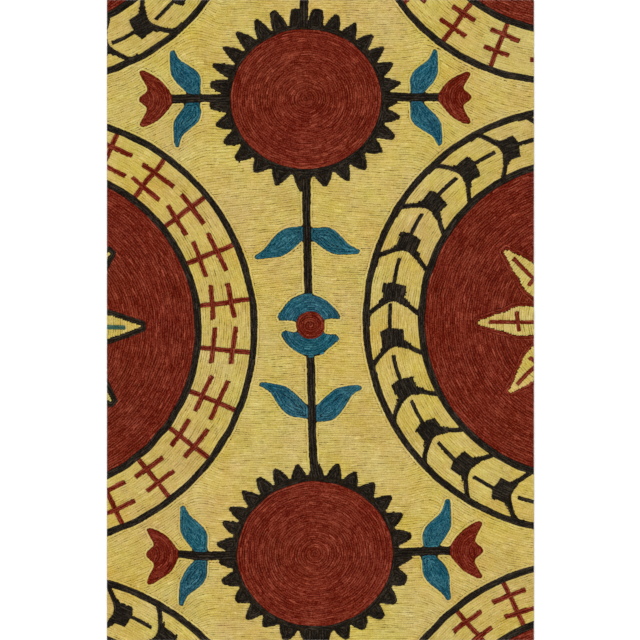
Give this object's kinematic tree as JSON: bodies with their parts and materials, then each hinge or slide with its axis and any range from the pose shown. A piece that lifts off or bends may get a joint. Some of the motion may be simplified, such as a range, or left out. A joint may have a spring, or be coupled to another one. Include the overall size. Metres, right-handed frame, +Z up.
{
  "type": "suzani rug",
  "caption": "Flat cut length of a hand-embroidered wool rug, chain stitched all over with sunflowers, ringed medallions, leaves and tulips on a yellow ground.",
  "frame": {"origin": "centre of the underside, on the surface that the rug lies on", "axes": "+Z up out of the stitched face; +Y along the length, up the flower stem; +X across the width"},
  "size_m": [0.6, 0.9, 0.004],
  "materials": {
    "yellow_wool": "matt wool chain stitch, golden yellow ground",
    "red_wool": "matt wool chain stitch, madder red",
    "black_wool": "matt wool chain stitch, charcoal black",
    "blue_wool": "matt wool chain stitch, teal blue",
    "canvas": "plain-woven cotton canvas, seen at the cut edges and underneath"
  },
  "bodies": {
    "root": {"rug": "yellow_wool"}
  },
  "joints": []
}
